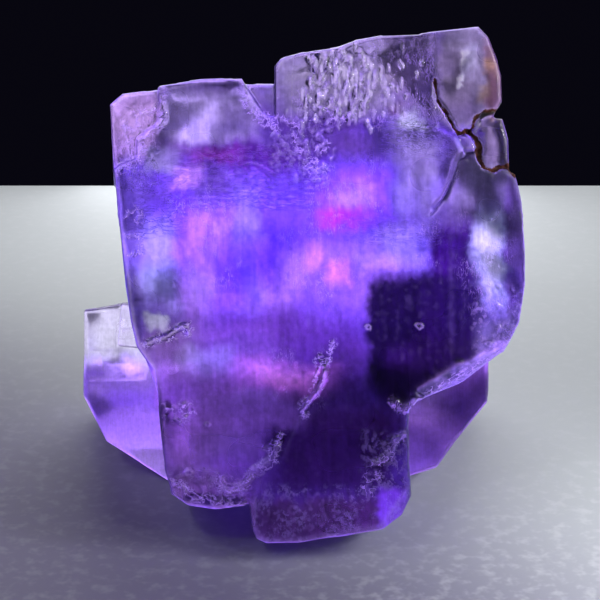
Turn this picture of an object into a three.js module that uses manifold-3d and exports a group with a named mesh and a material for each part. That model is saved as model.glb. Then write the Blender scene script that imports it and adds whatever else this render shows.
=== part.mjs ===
// A small cluster of intergrown purple fluorite cubes, about 35 mm high, as one solid.
//
// Millimetres, +Z up. The cluster rests on a flat cut at Z = 0, and the origin is the centre of its
// bounding box's bottom. It is drawn in "face" coordinates and leaned back at the end: x to the right
// and z up along the large front face, with y the depth behind that face. The point 0, 0, 0 of those
// coordinates is the middle of the front face.

import * as THREE from "three";
import { mergeVertices } from "three/addons/utils/BufferGeometryUtils.js";
import Module from "manifold-3d";

const wasm = await Module();
wasm.setup();

// Driving dimensions
const LEAN = 22; // degrees that the front face leans back from upright
const REST_DROP = 17.7; // plumb distance from the middle of the front face down to the resting plane
const EDGE_ROUND = 0.3; // how far the crystals' edges are rounded
const RIDGE_RADIUS = 0.2; // half the width of the raised seams where two crystals met
const CRACK_RADIUS = 0.2; // half the width of the open cracks
const SLIVER = 0.01; // faces thinner than this are closed up
const FAR = 80; // side of the block that cuts the base, larger than the whole cluster

// The crystals. Each outline is the crystal's front, anticlockwise in x and z, and front and back are
// depths behind the large face. turn is how far it grew out of line with its neighbours, in degrees.
const CRYSTALS = {
  front_face: {
    outline: [
      [-10.4, -4.9], [-10.0, -7.0], [-9.8, -9.2], [-9.5, -11.9], [-9.0, -13.7], [-8.0, -14.4],
      [-6.0, -14.7], [-3.9, -14.5], [-1.5, -12.0], [1.4, -6.6], [7.6, -7.4], [11.4, -5.9],
      [14.4, -3.6], [15.3, -1.6], [15.3, 7.4], [14.5, 9.2], [11.9, 9.8], [11.0, 11.5], [9.4, 12.4],
      [4.5, 13.0], [-0.7, 12.4], [-2.6, 13.2], [-4.1, 15.6], [-7.0, 15.5], [-9.9, 15.1],
      [-10.1, 12.4], [-11.5, 11.4], [-11.6, 9.6], [-13.1, 9.1], [-12.8, 6.0], [-12.3, 1.0],
      [-11.9, -1.6], [-11.5, -3.3],
    ],
    front: 0.5,
    back: 5.2,
    turn: [0, 0, 0],
  },
  upper_left: {
    outline: [
      [-11.4, -3.0], [-9.6, -8.0], [2.0, -8.0], [2.0, 14.8], [-9.8, 14.9], [-12.8, 8.6], [-12.2, 1.0],
    ],
    front: 1.6,
    back: 17.5,
    turn: [0, 0, 0],
  },
  top_left_corner: {
    outline: [[-13.2, 8.0], [-8.0, 8.0], [-8.0, 14.9], [-10.0, 14.85], [-12.7, 14.5], [-13.5, 13.8]],
    front: 0.95,
    back: 13.4,
    turn: [0, 0, 0.5],
  },
  top_recess: {
    outline: [[-6.0, 8.0], [0.0, 8.0], [0.0, 15.25], [-6.0, 15.35]],
    front: 1.5,
    back: 15.5,
    turn: [0, 0, 0],
  },
  upper_right: {
    outline: [
      [-1.7, -6.6], [7.6, -7.0], [11.4, -5.4], [14.6, -2.6], [15.1, 2.0], [14.8, 7.4], [14.4, 9.0],
      [11.4, 11.4], [9.6, 12.2], [-1.7, 12.2],
    ],
    front: 1.6,
    back: 18.6,
    turn: [0, 0, 0],
  },
  top_right: {
    outline: [
      [-1.8, 9.0], [9.9, 9.0], [9.7, 18.75], [5.6, 18.6], [3.9, 18.3], [2.6, 17.8], [0.0, 17.4],
      [-1.3, 17.05], [-1.8, 16.5],
    ],
    front: 0.52,
    back: 16.8,
    turn: [0, 0, 0],
  },
  right_flank: {
    outline: [
      [10.2, -1.2], [11.6, -4.6], [14.4, -3.7], [15.5, -1.6], [15.9, 1.0], [15.9, 3.6], [15.6, 7.2],
      [15.2, 8.9], [13.3, 9.7], [10.8, 8.2],
    ],
    front: 0.5,
    back: 15.2,
    turn: [0, 0, 0],
  },
  top_right_cap: {
    outline: [
      [8.5, 13.0], [11.1, 11.9], [13.6, 12.9], [14.25, 14.0], [14.2, 15.8], [13.8, 17.2], [13.3, 18.5],
      [12.6, 19.25], [8.5, 18.8],
    ],
    front: 0.57,
    back: 13.0,
    turn: [0, 0, 0],
  },
  under_cap: {
    outline: [[8.6, 9.2], [13.2, 9.0], [13.3, 12.4], [11.2, 12.4], [10.0, 13.8], [8.6, 14.0]],
    front: 0.75,
    back: 12.0,
    turn: [0, 0, 0],
  },
  side_nub: {
    outline: [[12.2, 8.6], [14.7, 8.6], [14.6, 11.4], [14.2, 12.8], [12.2, 12.9]],
    front: 0.8,
    back: 7.5,
    turn: [0, 0, 2],
  },
  lower_left: {
    outline: [[-9.2, -13.9], [-4.0, -14.2], [2.0, -12.0], [2.0, -4.0], [-9.4, -4.0], [-9.6, -8.0]],
    front: 2.4,
    back: 16.2,
    turn: [0, 0, 0],
  },
  bottom: {
    outline: [
      [-3.6, -14.0], [-3.4, -16.0], [-3.1, -16.8], [-2.4, -17.1], [0.0, -17.05], [3.9, -16.45],
      [5.9, -16.1], [7.2, -15.2], [7.8, -13.9], [7.6, -9.0], [7.8, -6.0], [4.6, -4.0], [2.2, -3.4],
      [1.6, -6.0], [-0.6, -8.8], [-1.6, -11.0], [-3.0, -12.2],
    ],
    front: 0.42,
    back: 15.4,
    turn: [0, 0, 0],
  },
  rear_left: {
    outline: [
      [-17.0, -7.4], [-15.3, -10.8], [-10.4, -14.0], [1.0, -16.0], [1.0, 0.9], [-12.6, -0.1],
      [-17.0, -0.8],
    ],
    front: 12.6,
    back: 25.5,
    turn: [0, 0, 4],
  },
  rear_right: {
    outline: [
      [-1.5, -14.5], [8.6, -13.1], [10.8, -12.4], [12.2, -10.4], [14.6, -7.4], [14.9, 3.4], [-1.5, 3.8],
    ],
    front: 10.4,
    back: 27.0,
    turn: [2, 0, -3],
  },
  rear_top: {
    outline: [[-9.2, -10.0], [4.6, -10.0], [4.6, 8.8], [-9.2, 8.2]],
    front: 12.0,
    back: 22.6,
    turn: [0, 3, 2],
  },
  back_cube_large: {
    outline: [[1.4, 5.6], [9.6, 5.6], [9.6, 13.4], [1.4, 13.4]],
    front: 13.0,
    back: 21.8,
    turn: [4, -3, 6],
  },
  back_cube_small: {
    outline: [[-6.8, 7.6], [-1.4, 7.6], [-1.4, 13.0], [-6.8, 13.0]],
    front: 15.2,
    back: 20.6,
    turn: [0, 5, -4],
  },
  side_cube_left: {
    outline: [[-12.9, 0.2], [-8.0, 0.2], [-8.0, 5.4], [-12.9, 5.4]],
    front: 12.4,
    back: 19.0,
    turn: [0, 4, 3],
  },
  side_cube_right: {
    outline: [[10.4, 1.4], [15.9, 1.4], [15.9, 6.8], [10.4, 6.8]],
    front: 15.0,
    back: 21.8,
    turn: [5, 0, 6],
  },
};

// Small cubes that grew on the large ones: centre, side, and turn in degrees.
const CUBELETS = [
  { at: [-11.0, 10.2, 14.2], side: 2.6, turn: [3, 2, -6] },
  { at: [-1.9, 13.6, 14.7], side: 3.4, turn: [-4, 0, 5] },
  { at: [8.7, 15.0, 16.7], side: 3.0, turn: [2, 6, 3] },
  { at: [11.4, 12.6, 14.6], side: 3.6, turn: [0, -3, 4] },
  { at: [-12.2, 12.8, -2.0], side: 3.2, turn: [0, 5, 3] },
  { at: [-9.6, 17.4, 9.6], side: 3.8, turn: [4, 0, -5] },
  { at: [-3.4, 20.4, 9.2], side: 2.4, turn: [6, -4, 8] },
  { at: [4.9, 22.2, 5.4], side: 3.2, turn: [-5, 3, 7] },
  { at: [-9.4, 22.8, 0.6], side: 3.6, turn: [3, 6, -4] },
  { at: [0.4, 24.6, -4.0], side: 3.4, turn: [5, 0, 9] },
  { at: [10.4, 21.6, 3.6], side: 2.8, turn: [0, 7, -6] },
  { at: [-14.8, 22.4, -2.7], side: 2.6, turn: [4, -5, 6] },
  { at: [7.9, 12.0, -8.8], side: 3.0, turn: [0, 4, 5] },
  { at: [14.4, 14.6, -1.0], side: 2.8, turn: [3, 0, -4] },
  { at: [13.6, 26.0, -3.0], side: 2.6, turn: [0, 5, 8] },
];

// Flat cleavage and broken faces: a point on each, the way out of the crystal, and how far each reaches.
const CLEAVED = [
  { name: "lower right ledge", at: [11.6, 0.5, -4.3], out: [0.36, -0.71, -0.61], reach: 7.6 },
  { name: "right flank", at: [13.5, 0.88, 2.6], out: [0.13, -0.99, 0], reach: 14.4 },
  { name: "bottom right chip", at: [6.5, 0.25, -14.4], out: [0.59, -0.71, -0.39], reach: 4.2 },
  { name: "rear left lower corner", at: [-16.2, 24.6, -8.0], out: [-1, 1, -1], reach: 20 },
  { name: "rear left top corner", at: [-16.4, 24.7, -1.2], out: [-1, 1, 1], reach: 20 },
  { name: "rear right lower corner", at: [14.0, 25.6, -6.5], out: [1, 1, -1], reach: 20 },
  { name: "rear right top corner", at: [13.9, 25.9, 2.6], out: [1, 1, 1], reach: 20 },
  { name: "top left back corner", at: [-9.4, 15.6, 14.2], out: [-1, 1, 1], reach: 6 },
  { name: "top right back corner", at: [8.2, 15.4, 17.2], out: [1, 1, 1], reach: 7 },
  { name: "right back corner", at: [13.4, 17.4, 8.0], out: [1, 1, 1], reach: 7 },
];

// Low growth plates on the faces that the front view hides: face, centre, size and thickness.
const PLATES = [
  { face: "top", at: [-6.6, 9.4, 14.9], size: [6.2, 9.6], thick: 0.4 },
  { face: "top", at: [-7.1, 8.6, 15.2], size: [3.6, 5.4], thick: 0.4 },
  { face: "top", at: [5.6, 9.8, 17.6], size: [6.6, 10.4], thick: 0.6 },
  { face: "top", at: [5.0, 11.2, 18.1], size: [4.2, 5.8], thick: 0.5 },
  { face: "top", at: [11.6, 7.6, 18.0], size: [3.0, 7.2], thick: 0.5 },
  { face: "left", at: [-12.1, 9.4, 5.8], size: [8.4, 6.2], thick: 0.6 },
  { face: "left", at: [-9.3, 9.6, -9.2], size: [8.4, 5.6], thick: 0.5 },
  { face: "left", at: [-16.2, 18.8, -4.6], size: [8.2, 4.8], thick: 0.5 },
  { face: "left", at: [-16.5, 19.8, -4.2], size: [4.2, 2.6], thick: 0.4 },
  { face: "right", at: [15.5, 7.8, 3.6], size: [8.6, 6.6], thick: 0.4 },
  { face: "right", at: [15.8, 7.0, 4.4], size: [4.2, 3.4], thick: 0.3 },
  { face: "right", at: [14.0, 18.8, -3.6], size: [8.4, 5.8], thick: 0.5 },
  { face: "right", at: [7.4, 8.4, -11.6], size: [8.4, 4.4], thick: 0.5 },
  { face: "back", at: [9.6, 18.6, 3.6], size: [7.4, 6.6], thick: 0.5 },
  { face: "back", at: [-3.0, 23.7, 1.2], size: [8.6, 8.4], thick: 0.6 },
  { face: "back", at: [-3.9, 24.2, 0.4], size: [4.8, 4.6], thick: 0.5 },
  { face: "back", at: [7.4, 27.0, -1.6], size: [8.2, 6.8], thick: 0.6 },
  { face: "back", at: [8.3, 27.5, -0.8], size: [4.4, 3.6], thick: 0.4 },
  { face: "back", at: [-12.4, 25.5, -3.8], size: [5.0, 4.2], thick: 0.6 },
  { face: "back", at: [-10.6, 17.5, 4.4], size: [3.2, 5.4], thick: 0.5 },
];

// Raised seams on the front, where the crystals grew into each other: x, depth, z along each.
const RIDGES = {
  corner_seam: [
    [-9.9, 0.7, 15.0], [-9.7, 0.6, 14.0], [-9.5, 0.6, 12.7], [-10.5, 0.8, 11.9], [-11.3, 0.8, 11.2],
    [-11.4, 0.8, 9.8], [-12.3, 0.7, 9.5], [-13.0, 0.8, 9.1],
  ],
  recess_seam: [
    [-4.1, 0.7, 15.3], [-3.7, 0.7, 14.0], [-2.9, 0.9, 13.0], [-2.0, 1.0, 12.3], [-0.7, 0.9, 12.5],
  ],
  curl: [
    [1.4, 0.5, -4.2], [1.7, 0.4, -4.7], [1.6, 0.36, -5.6], [1.1, 0.36, -6.5], [0.5, 0.4, -7.2],
    [0.1, 0.45, -7.9],
  ],
  fringe: [
    [-1.6, 0.5, -10.2], [-1.8, 0.5, -11.1], [-2.7, 0.5, -11.7], [-3.4, 0.5, -12.0], [-3.8, 0.5, -12.9],
    [-5.3, 0.5, -13.3],
  ],
  lower_left: [
    [-9.1, 0.7, -12.6], [-8.4, 0.6, -13.0], [-7.6, 0.7, -13.7], [-6.2, 0.8, -14.0], [-4.6, 0.8, -14.0],
  ],
  ledge_corner: [[6.6, 0.45, -7.0], [7.1, 0.52, -7.5], [7.7, 0.6, -7.5], [8.1, 0.55, -7.0]],
  right_fringe: [
    [7.3, 0.6, -9.4], [6.7, 0.42, -9.9], [6.4, 0.42, -10.6], [5.8, 0.42, -11.2], [5.1, 0.42, -11.4],
  ],
  left_ledge: [
    [-10.8, 0.6, -3.0], [-9.9, 0.5, -2.8], [-9.0, 0.5, -2.4], [-8.5, 0.5, -1.9], [-7.9, 0.5, -1.8],
  ],
};

// Open cracks in the upper right corner, drawn the same way.
const CRACKS = {
  cap_crack: [
    [9.5, 0.5, 15.4], [9.5, 0.5, 14.3], [10.1, 0.6, 13.4], [10.7, 0.7, 12.5], [11.1, 0.8, 11.8],
    [12.1, 0.8, 11.9], [12.6, 0.8, 12.8], [13.3, 0.9, 13.2], [14.6, 1.2, 13.3],
  ],
  flank_crack: [
    [11.8, 0.8, 11.8], [12.4, 0.8, 11.1], [12.6, 0.7, 10.2], [13.0, 0.7, 9.5], [13.7, 0.8, 9.3],
    [14.6, 0.9, 9.3], [15.6, 1.2, 8.4],
  ],
  inner_crack: [
    [12.5, 0.7, 10.3], [11.9, 0.6, 10.4], [11.1, 0.5, 9.9], [10.6, 0.5, 8.4], [10.2, 0.5, 7.3],
    [9.3, 0.5, 6.3],
  ],
};

// Glassy drop-shaped hillocks on the pale crystal at the top: centre of the patch and half its size.
const DROPS = { x: 2.9, z: 15.1, halfWidth: 2.6, halfHeight: 2.6, depth: 0.46, count: 26 };

// Square pits etched into the faces: centre of the mouth, side, the face.
const PITS = [
  { face: "top", at: [1.0, 6.6, 17.5], side: 1.3 },
  { face: "top", at: [-5.0, 4.0, 15.35], side: 1.0 },
  { face: "left", at: [-12.7, 3.4, 10.4], side: 1.2 },
  { face: "left", at: [-12.1, 12.0, -1.4], side: 1.5 },
  { face: "right", at: [15.8, 11.6, 1.0], side: 1.4 },
  { face: "right", at: [14.8, 22.0, 0.8], side: 1.3 },
  { face: "back", at: [-7.0, 23.6, -4.6], side: 1.5 },
  { face: "back", at: [3.2, 27.0, -4.0], side: 1.2 },
  { face: "back", at: [-11.6, 17.5, 8.6], side: 1.1 },
];

// A closed geometry as a solid.
function solid(geometry) {
  const bare = geometry.index ? geometry.toNonIndexed() : geometry.clone();
  for (const name of Object.keys(bare.attributes)) {
    if (name !== "position") bare.deleteAttribute(name);
  }
  const merged = mergeVertices(bare, 1e-4);
  const vertProperties = merged.attributes.position.array;
  const triVerts = new Uint32Array(merged.index.array);
  return new wasm.Manifold(new wasm.Mesh({ numProp: 3, vertProperties, triVerts }));
}

// A crystal: its outline from front to back, with rounded edges, turned about its own middle.
function crystal({ outline, front, back, turn }) {
  const shape = new THREE.Shape(outline.map(([x, z]) => new THREE.Vector2(x, z)));
  const geometry = new THREE.ExtrudeGeometry(shape, {
    depth: back - front - 2 * EDGE_ROUND,
    bevelSize: EDGE_ROUND,
    bevelOffset: -EDGE_ROUND,
    bevelThickness: EDGE_ROUND,
    bevelSegments: 2,
  });
  geometry.rotateX(Math.PI / 2).translate(0, back - EDGE_ROUND, 0);
  geometry.computeBoundingBox();
  const middle = geometry.boundingBox.getCenter(new THREE.Vector3());
  const [rx, ry, rz] = turn.map(THREE.MathUtils.degToRad);
  geometry.translate(-middle.x, -middle.y, -middle.z);
  geometry.applyMatrix4(new THREE.Matrix4().makeRotationFromEuler(new THREE.Euler(rx, ry, rz)));
  geometry.translate(middle.x, middle.y, middle.z);
  return solid(geometry);
}

// A small cube with plain edges.
function cubelet({ at, side, turn }) {
  const geometry = new THREE.BoxGeometry(side, side, side);
  const angles = turn.map(THREE.MathUtils.degToRad);
  geometry.applyMatrix4(new THREE.Matrix4().makeRotationFromEuler(new THREE.Euler(...angles)));
  return solid(geometry.translate(...at));
}

// What lies beyond a plane, within reach of the point on it: a block that stands on the plane.
function beyond(point, normal, reach) {
  const geometry = new THREE.BoxGeometry(reach, reach, reach).translate(0, 0, reach / 2);
  const way = new THREE.Vector3(...normal).normalize();
  geometry.applyQuaternion(new THREE.Quaternion().setFromUnitVectors(new THREE.Vector3(0, 0, 1), way));
  return solid(geometry.translate(...point));
}

// Where the geometry's X, Y and Z go on each face: Z points out of it.
const FACE_AXES = {
  top: [[1, 0, 0], [0, 1, 0], [0, 0, 1]],
  back: [[-1, 0, 0], [0, 0, 1], [0, 1, 0]],
  left: [[0, -1, 0], [0, 0, 1], [-1, 0, 0]],
  right: [[0, 1, 0], [0, 0, 1], [1, 0, 0]],
};

function onFace(geometry, face, at) {
  const axes = FACE_AXES[face].map((axis) => new THREE.Vector3(...axis));
  geometry.applyMatrix4(new THREE.Matrix4().makeBasis(...axes));
  return solid(geometry.translate(...at));
}

// A thin plate whose middle lies in the face that it grew on.
function plate({ face, at, size, thick }) {
  const [width, length] = size;
  const round = thick / 2;
  const shape = new THREE.Shape();
  shape.moveTo(-width / 2, -length / 2 + round);
  shape.lineTo(-width / 2 + round, -length / 2);
  shape.lineTo(width / 2, -length / 2);
  shape.lineTo(width / 2, length / 2 - 2 * round);
  shape.lineTo(width / 2 - 2 * round, length / 2);
  shape.lineTo(-width / 2, length / 2);
  const geometry = new THREE.ExtrudeGeometry(shape, { depth: 2 * thick, bevelEnabled: false });
  return onFace(geometry.translate(0, 0, -thick), face, at);
}

// A square pit, an upside-down pyramid whose sides lie along the crystal's edges.
function pit({ face, at, side }) {
  const geometry = new THREE.OctahedronGeometry(side / Math.SQRT2).rotateZ(Math.PI / 4).scale(1, 1, 0.6);
  return onFace(geometry, face, at);
}

// A thin six-sided rod along a curve through the points.
function rod(points, radius) {
  const curve = new THREE.CatmullRomCurve3(points.map((p) => new THREE.Vector3(...p)));
  const section = new THREE.Shape();
  for (let i = 0; i < 6; i++) {
    const angle = (i * Math.PI) / 3;
    section[i ? "lineTo" : "moveTo"](radius * Math.cos(angle), radius * Math.sin(angle));
  }
  const steps = 2 * (points.length - 1);
  return solid(new THREE.ExtrudeGeometry(section, { steps, extrudePath: curve, bevelEnabled: false }));
}

// The hillocks, spread over their oval patch as seeds are in a sunflower.
function drops({ x, z, halfWidth, halfHeight, depth, count }) {
  const golden = Math.PI * (3 - Math.sqrt(5));
  return Array.from({ length: count }, (_, i) => {
    const out = Math.sqrt((i + 0.5) / count);
    const across = out * Math.cos(i * golden);
    const up = out * Math.sin(i * golden);
    const width = 0.18 + 0.1 * ((i * 7) % 5) / 4;
    const height = 0.35 + 0.4 * ((i * 3) % 4) / 3;
    const geometry = new THREE.IcosahedronGeometry(1, 1).scale(width, 0.2, height);
    return solid(geometry.translate(x + across * halfWidth, depth, z + up * halfHeight));
  });
}

// The whole cluster in face coordinates.
function cluster() {
  const grown = [
    ...Object.values(CRYSTALS).map(crystal),
    ...CUBELETS.map(cubelet),
    ...PLATES.map(plate),
    ...Object.values(RIDGES).map((points) => rod(points, RIDGE_RADIUS)),
    ...drops(DROPS),
  ];
  const removed = [
    ...CLEAVED.map(({ at, out, reach }) => beyond(at, out, reach)),
    ...PITS.map(pit),
    ...Object.values(CRACKS).map((points) => rod(points, CRACK_RADIUS)),
  ];
  const whole = grown.reduce((sum, next) => sum.add(next));
  return removed.reduce((rest, cut) => rest.subtract(cut), whole);
}

// A solid as a three.js geometry, leaned back.
function leaned(manifold) {
  const mesh = manifold.getMesh();
  const positions = new Float32Array(mesh.numVert * 3);
  for (let i = 0; i < mesh.numVert; i++) {
    positions.set(mesh.vertProperties.subarray(i * mesh.numProp, i * mesh.numProp + 3), i * 3);
  }
  const geometry = new THREE.BufferGeometry();
  geometry.setAttribute("position", new THREE.BufferAttribute(positions, 3));
  geometry.setIndex(new THREE.BufferAttribute(mesh.triVerts, 1));
  return geometry.rotateX(THREE.MathUtils.degToRad(-LEAN));
}

// The cluster is leaned back, cut off flat at the resting plane and put on the origin. Slivers that
// the joins and cuts leave are closed up, and so are loose crumbs that a cut sets free.
const cutFlat = solid(leaned(cluster())).subtract(beyond([0, 0, -REST_DROP], [0, 0, -1], FAR));
const largest = cutFlat.simplify(SLIVER).decompose().reduce((a, b) => (a.volume() > b.volume() ? a : b));
const mesh = largest.getMesh();
const geometry = new THREE.BufferGeometry();
geometry.setAttribute("position", new THREE.BufferAttribute(new Float32Array(mesh.vertProperties), 3));
geometry.setIndex(new THREE.BufferAttribute(mesh.triVerts, 1));
const fluorite = new THREE.MeshStandardMaterial({ color: 0x5b34b8, roughness: 0.2, metalness: 0 });
const specimen = new THREE.Mesh(geometry, fluorite);
specimen.name = "fluorite_cluster";
geometry.computeBoundingBox();
const { min, max } = geometry.boundingBox;
specimen.position.set(-(min.x + max.x) / 2, -(min.y + max.y) / 2, -min.z);

const root = new THREE.Group();
root.add(specimen);
export default root;
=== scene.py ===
"""A cluster of intergrown violet fluorite cubes, on a pale table in soft studio light.

Places on the crystal are in face coordinates, in millimetres, as in the part's own source: x to the right
and z up along the leaning front face, y the depth behind it, and 0, 0, 0 the middle of that face.
"""

import itertools
import math

import bmesh
import bpy
import numpy as np
from mathutils import Matrix, Vector


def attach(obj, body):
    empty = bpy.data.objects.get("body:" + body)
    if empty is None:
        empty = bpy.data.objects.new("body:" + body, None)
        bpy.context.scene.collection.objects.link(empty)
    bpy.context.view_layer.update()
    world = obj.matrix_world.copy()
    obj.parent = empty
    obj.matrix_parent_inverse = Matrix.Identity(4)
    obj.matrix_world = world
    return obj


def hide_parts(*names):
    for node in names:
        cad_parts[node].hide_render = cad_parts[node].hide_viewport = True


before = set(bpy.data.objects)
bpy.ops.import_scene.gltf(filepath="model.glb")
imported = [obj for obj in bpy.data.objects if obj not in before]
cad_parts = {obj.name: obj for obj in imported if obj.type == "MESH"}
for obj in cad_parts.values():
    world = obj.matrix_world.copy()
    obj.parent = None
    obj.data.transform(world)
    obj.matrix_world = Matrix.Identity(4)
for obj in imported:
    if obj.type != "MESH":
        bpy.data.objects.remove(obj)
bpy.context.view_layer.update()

MM = 0.001
LEAN = math.radians(22)  # how far the front face leans back
FACE_MIDDLE = Vector((0.599, -10.318, 17.7))  # the middle of the front face, in the model's frame

VIEW_WIDTH = 42.0  # what the photo shows across, at the front face
CAMERA_DISTANCE = 130.0
SENSOR = 36.0

VOXEL = 0.1
SAME_POINT = 0.001  # points of the solid that are closer than this become one
TRIANGLES = 190000
FRONT_DECIMATION, FRONT_GUARD = 0.5, 0.01  # how strongly the front keeps its small triangles
SMOOTHING = (0.5, 3)  # how far each point of the remeshed solid goes towards its neighbours, and how often
EDGE_CURVE = 3.0  # the bend of a sharp edge, one over its radius
FRONT_DEPTH = 5.0  # how deep the front's own faces lie, with the set-back crystals
RELIEF_DEPTH = 4.0  # how deep the fine surface of the front reaches

TO_FACE = Matrix.Rotation(LEAN, 4, "X") @ Matrix.Translation(-FACE_MIDDLE) @ Matrix.Scale(1 / MM, 4)
TO_MODEL = TO_FACE.inverted()


def in_model(x, y, z):
    """A point given in face coordinates, in the model's frame, in metres."""
    return TO_MODEL @ Vector((x, y, z))


# Camera


def look_at(thing, target):
    """Points a camera or a light at the target."""
    way = Vector(target) - thing.location
    thing.rotation_euler = way.to_track_quat("-Z", "Y").to_euler()


def make_camera():
    """The photo's camera: straight in front of the leaning face."""
    camera = bpy.data.objects.new("photo_camera", bpy.data.cameras.new("photo_camera"))
    bpy.context.scene.collection.objects.link(camera)
    camera.data.sensor_width = SENSOR
    camera.data.lens = SENSOR * CAMERA_DISTANCE / VIEW_WIDTH
    camera.data.clip_start = 0.001
    camera.data.clip_end = 5.0
    camera.location = in_model(0, -CAMERA_DISTANCE, 0)
    look_at(camera, in_model(0, 0, 0))
    bpy.context.scene.camera = camera


# Shape


def hashed(cells, seed):
    """A repeatable random value from -1 to 1 for each whole-numbered cell."""
    x, y, z = (cells[:, i].astype(np.uint32) for i in range(3))
    key = x * np.uint32(73856093) ^ y * np.uint32(19349663) ^ z * np.uint32(83492791)
    key = (key + np.uint32(seed * 1013)) * np.uint32(2654435761)
    key = (key ^ (key >> np.uint32(15))) * np.uint32(2246822519)
    return (key >> np.uint32(16)).astype(float) / 32767.5 - 1


def noise(points, size, seed=0):
    """Smooth random values from -1 to 1. size is the lumps' distance, one number or one for each axis."""
    grid = points / np.asarray(size, float) + 1000.0
    cell = np.floor(grid)
    part = grid - cell
    part = part * part * (3 - 2 * part)
    total = np.zeros(len(points))
    for corner in itertools.product((0, 1), repeat=3):
        share = np.prod(np.where(corner, part, 1 - part), axis=1)
        total += share * hashed((cell + corner).astype(np.int64), seed)
    return total


def layers(points, parts):
    """Layers of noise, added up. Each part is how strong it is, its lumps' size and its seed."""
    total = np.zeros(len(points))
    for strength, size, seed in parts:
        total += strength * noise(points, size, seed)
    return total


def ramp(values, low, high):
    """0 below low, 1 above high, smooth between."""
    t = np.clip((values - low) / (high - low), 0, 1)
    return t * t * (3 - 2 * t)


def window(points, x, z, soft=0.6):
    """1 where a point lies between the x's and the z's, fading out over soft beyond them."""
    inside_x = ramp(points[:, 0], x[0] - soft, x[0]) * ramp(-points[:, 0], -x[1] - soft, -x[1])
    inside_z = ramp(points[:, 2], z[0] - soft, z[0]) * ramp(-points[:, 2], -z[1] - soft, -z[1])
    return inside_x * inside_z


def on_front(points, normals):
    """1 on the faces that look at the camera, 0 on the others, smooth between."""
    return ramp(-normals[:, 1], 0.2, 0.7) * (points[:, 1] < FRONT_DEPTH)


def remeshed(node):
    """The CAD solid in face coordinates, as small even quads."""
    work = bmesh.new()
    work.from_mesh(node.data)
    work.transform(TO_FACE)
    bmesh.ops.remove_doubles(work, verts=work.verts, dist=SAME_POINT)
    data = bpy.data.meshes.new("work")
    work.to_mesh(data)
    work.free()
    holder = bpy.data.objects.new("work", data)
    bpy.context.scene.collection.objects.link(holder)
    modifier = holder.modifiers.new("voxels", "REMESH")
    modifier.mode = "VOXEL"
    modifier.voxel_size = VOXEL
    mesh = bpy.data.meshes.new_from_object(holder.evaluated_get(bpy.context.evaluated_depsgraph_get()))
    bpy.data.objects.remove(holder)
    return mesh


def read(mesh):
    """A mesh's points and edges."""
    points = np.empty(len(mesh.vertices) * 3)
    mesh.vertices.foreach_get("co", points)
    edges = np.empty(len(mesh.edges) * 2, np.int64)
    mesh.edges.foreach_get("vertices", edges)
    return points.reshape(-1, 3), edges.reshape(-1, 2)


def write(mesh, points):
    """Puts the points back and gives the normals there."""
    mesh.vertices.foreach_set("co", points.astype(np.float32).ravel())
    mesh.update()
    normals = np.empty(len(points) * 3, np.float32)
    mesh.vertex_normals.foreach_get("vector", normals)
    return normals.reshape(-1, 3).astype(float)


def relaxed(points, edges, share, rounds):
    """Moves each point towards the middle of its neighbours."""
    count = np.maximum(np.bincount(edges.ravel(), minlength=len(points)), 1)[:, None]
    for _ in range(rounds):
        total = np.zeros_like(points)
        for axis in range(3):
            values = points[:, axis]
            total[:, axis] = np.bincount(edges[:, 0], values[edges[:, 1]], len(points))
            total[:, axis] += np.bincount(edges[:, 1], values[edges[:, 0]], len(points))
        points = points + share * (total / count - points)
    return points


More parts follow.
